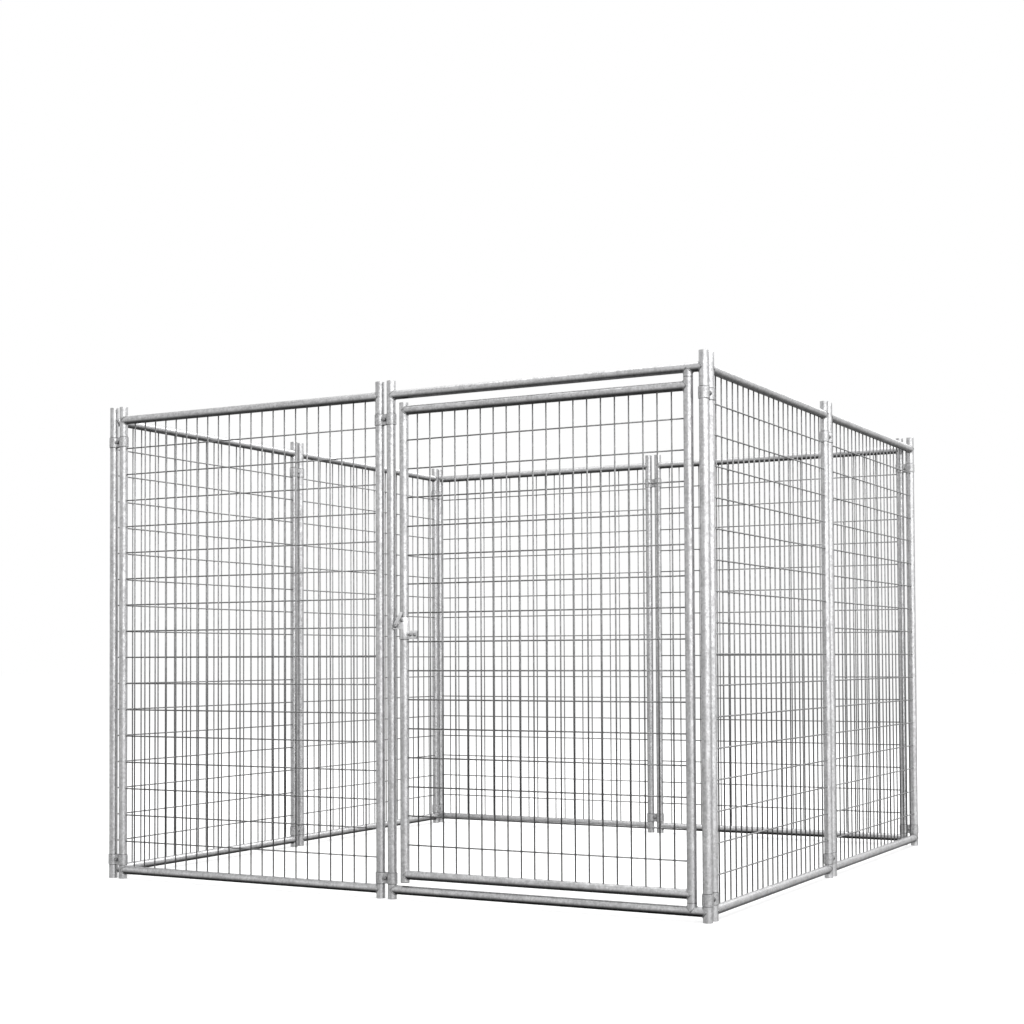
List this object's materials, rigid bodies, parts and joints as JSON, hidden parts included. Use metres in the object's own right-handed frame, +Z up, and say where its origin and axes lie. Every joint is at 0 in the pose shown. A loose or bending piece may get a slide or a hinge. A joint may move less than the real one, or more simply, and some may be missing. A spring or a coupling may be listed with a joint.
{
  "type": "outdoor dog kennel run",
  "caption": "Square open-topped dog run of clamped tube-and-wire panels, with a pin-hung gate that swings both ways and a drop-over fork latch.",
  "frame": {"origin": "centre of the pen's footprint, on the ground", "axes": "+Z is up, the gate faces -Y, and the gate's hinge is towards +X"},
  "size_m": [2.507, 2.5143, 1.829],
  "materials": {
    "galvanised_tube": "dull galvanised zinc",
    "mesh_wire": "dull galvanised zinc",
    "plated_fittings": "bright zinc plate"
  },
  "bodies": {
    "pen": {"front_left_post_a": "galvanised_tube", "front_left_post_b": "galvanised_tube", "front_left_top_rail": "galvanised_tube", "front_left_bottom_rail": "galvanised_tube", "front_left_mesh": "mesh_wire", "right_front_post_a": "galvanised_tube", "right_front_post_b": "galvanised_tube", "right_front_top_rail": "galvanised_tube", "right_front_bottom_rail": "galvanised_tube", "right_front_mesh": "mesh_wire", "right_back_post_a": "galvanised_tube", "right_back_post_b": "galvanised_tube", "right_back_top_rail": "galvanised_tube", "right_back_bottom_rail": "galvanised_tube", "right_back_mesh": "mesh_wire", "back_right_post_a": "galvanised_tube", "back_right_post_b": "galvanised_tube", "back_right_top_rail": "galvanised_tube", "back_right_bottom_rail": "galvanised_tube", "back_right_mesh": "mesh_wire", "back_left_post_a": "galvanised_tube", "back_left_post_b": "galvanised_tube", "back_left_top_rail": "galvanised_tube", "back_left_bottom_rail": "galvanised_tube", "back_left_mesh": "mesh_wire", "left_back_post_a": "galvanised_tube", "left_back_post_b": "galvanised_tube", "left_back_top_rail": "galvanised_tube", "left_back_bottom_rail": "galvanised_tube", "left_back_mesh": "mesh_wire", "left_front_post_a": "galvanised_tube", "left_front_post_b": "galvanised_tube", "left_front_top_rail": "galvanised_tube", "left_front_bottom_rail": "galvanised_tube", "left_front_mesh": "mesh_wire", "gate_post_latch": "galvanised_tube", "gate_post_hinge": "galvanised_tube", "gate_frame_top_rail": "galvanised_tube", "gate_frame_bottom_rail": "galvanised_tube", "hinge_stubs": "galvanised_tube", "hinge_pins": "plated_fittings", "clamp_outer_halves": "plated_fittings", "clamp_inner_halves": "plated_fittings", "clamp_bolts": "plated_fittings", "clamp_nuts": "plated_fittings"},
    "gate": {"leaf_latch_stile": "galvanised_tube", "leaf_hinge_stile": "galvanised_tube", "leaf_top_rail": "galvanised_tube", "leaf_bottom_rail": "galvanised_tube", "leaf_mesh": "mesh_wire", "latch_band_front": "plated_fittings", "latch_band_back": "plated_fittings", "latch_tail_bolts": "plated_fittings", "latch_cross_bolt": "plated_fittings", "latch_band_nuts": "plated_fittings"},
    "fork": {"fork_prong_front": "plated_fittings", "fork_prong_back": "plated_fittings", "fork_bolt": "plated_fittings", "fork_nut": "plated_fittings"}
  },
  "joints": [
    {"name": "gate_swing", "type": "hinge", "parent": "pen", "child": "gate", "pos_m": [1.181, -1.235, 0.9], "axis": [0, 0, 1], "range_deg": [-85, 125]},
    {"name": "fork_drop", "type": "hinge", "parent": "gate", "child": "fork", "pos_m": [0.0745, -1.235, 0.9585], "axis": [0, -1, 0], "range_deg": [0, 120]}
  ]
}
